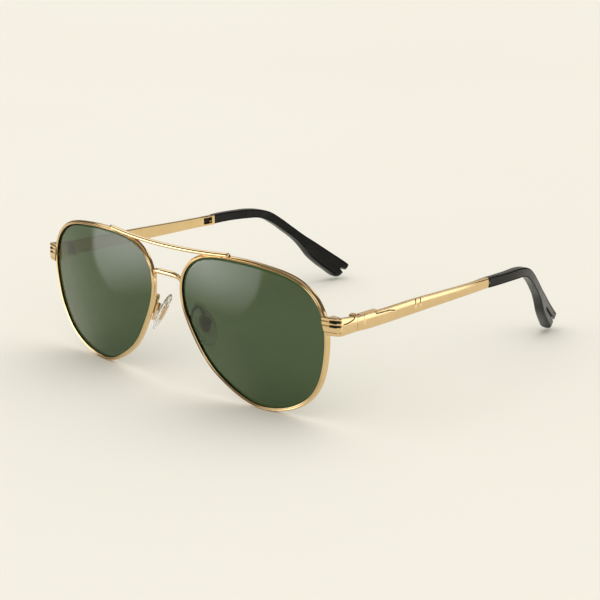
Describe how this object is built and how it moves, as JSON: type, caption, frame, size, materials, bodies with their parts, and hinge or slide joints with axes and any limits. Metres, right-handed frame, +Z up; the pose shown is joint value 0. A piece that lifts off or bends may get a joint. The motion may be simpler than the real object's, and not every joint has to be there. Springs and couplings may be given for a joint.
{
  "type": "aviator sunglasses",
  "caption": "Metal double-bridge aviator sunglasses with teardrop green lenses, screw-hinged folding temples, rocking nose pads and black tips.",
  "frame": {"origin": "middle of the footprint on the surface the glasses stand on, open", "axes": "+X to the wearer's left across the face, the lenses face -Y, the temples run back along +Y, +Z up"},
  "size_m": [0.138, 0.137, 0.0488],
  "materials": {
    "gold": "polished gold plating",
    "green_lens": "polished green tint",
    "black_acetate": "satin gloss",
    "clear_silicone": "clear, slightly milky",
    "screw_steel": "plated, satin"
  },
  "bodies": {
    "front": {"bridge": "gold", "brow_bar": "gold", "rim_left": "gold", "rim_right": "gold", "lens_left": "green_lens", "lens_right": "green_lens", "end_piece_left": "gold", "end_piece_right": "gold", "rim_lock_upper_left": "gold", "rim_lock_upper_right": "gold", "rim_lock_lower_left": "gold", "rim_lock_lower_right": "gold", "rim_screw_left": "screw_steel", "rim_screw_right": "screw_steel", "hinge_front_left": "gold", "hinge_front_right": "gold", "hinge_screw_left": "screw_steel", "hinge_screw_right": "screw_steel", "pad_arm_left": "gold", "pad_arm_right": "gold", "pad_box_left": "gold", "pad_box_right": "gold", "pad_screw_left": "screw_steel", "pad_screw_right": "screw_steel"},
    "temple_arm_left": {"hinge_rear_left": "gold", "temple_left": "gold", "temple_tip_left": "black_acetate", "tip_pin_left": "screw_steel"},
    "pad_left": {"nose_pad_left": "clear_silicone", "pad_insert_left": "gold"},
    "temple_arm_right": {"hinge_rear_right": "gold", "temple_right": "gold", "temple_tip_right": "black_acetate", "tip_pin_right": "screw_steel"},
    "pad_right": {"nose_pad_right": "clear_silicone", "pad_insert_right": "gold"}
  },
  "joints": [
    {"name": "temple_fold_left", "type": "hinge", "parent": "front", "child": "temple_arm_left", "pos_m": [0.0661, -0.05151, 0.0314], "axis": [0, 0, 1], "range_deg": [0, 84]},
    {"name": "temple_fold_right", "type": "hinge", "parent": "front", "child": "temple_arm_right", "pos_m": [-0.0661, -0.05151, 0.0314], "axis": [0, 0, -1], "range_deg": [0, 78]},
    {"name": "pad_rock_left", "type": "hinge", "parent": "front", "child": "pad_left", "pos_m": [0.01228, -0.0618, 0.02294], "axis": [-0.4407, -0.8765, -0.1938], "range_deg": [-8, 8]},
    {"name": "pad_rock_right", "type": "hinge", "parent": "front", "child": "pad_right", "pos_m": [-0.01228, -0.0618, 0.02294], "axis": [0.4407, -0.8765, -0.1938], "range_deg": [-8, 8]}
  ]
}
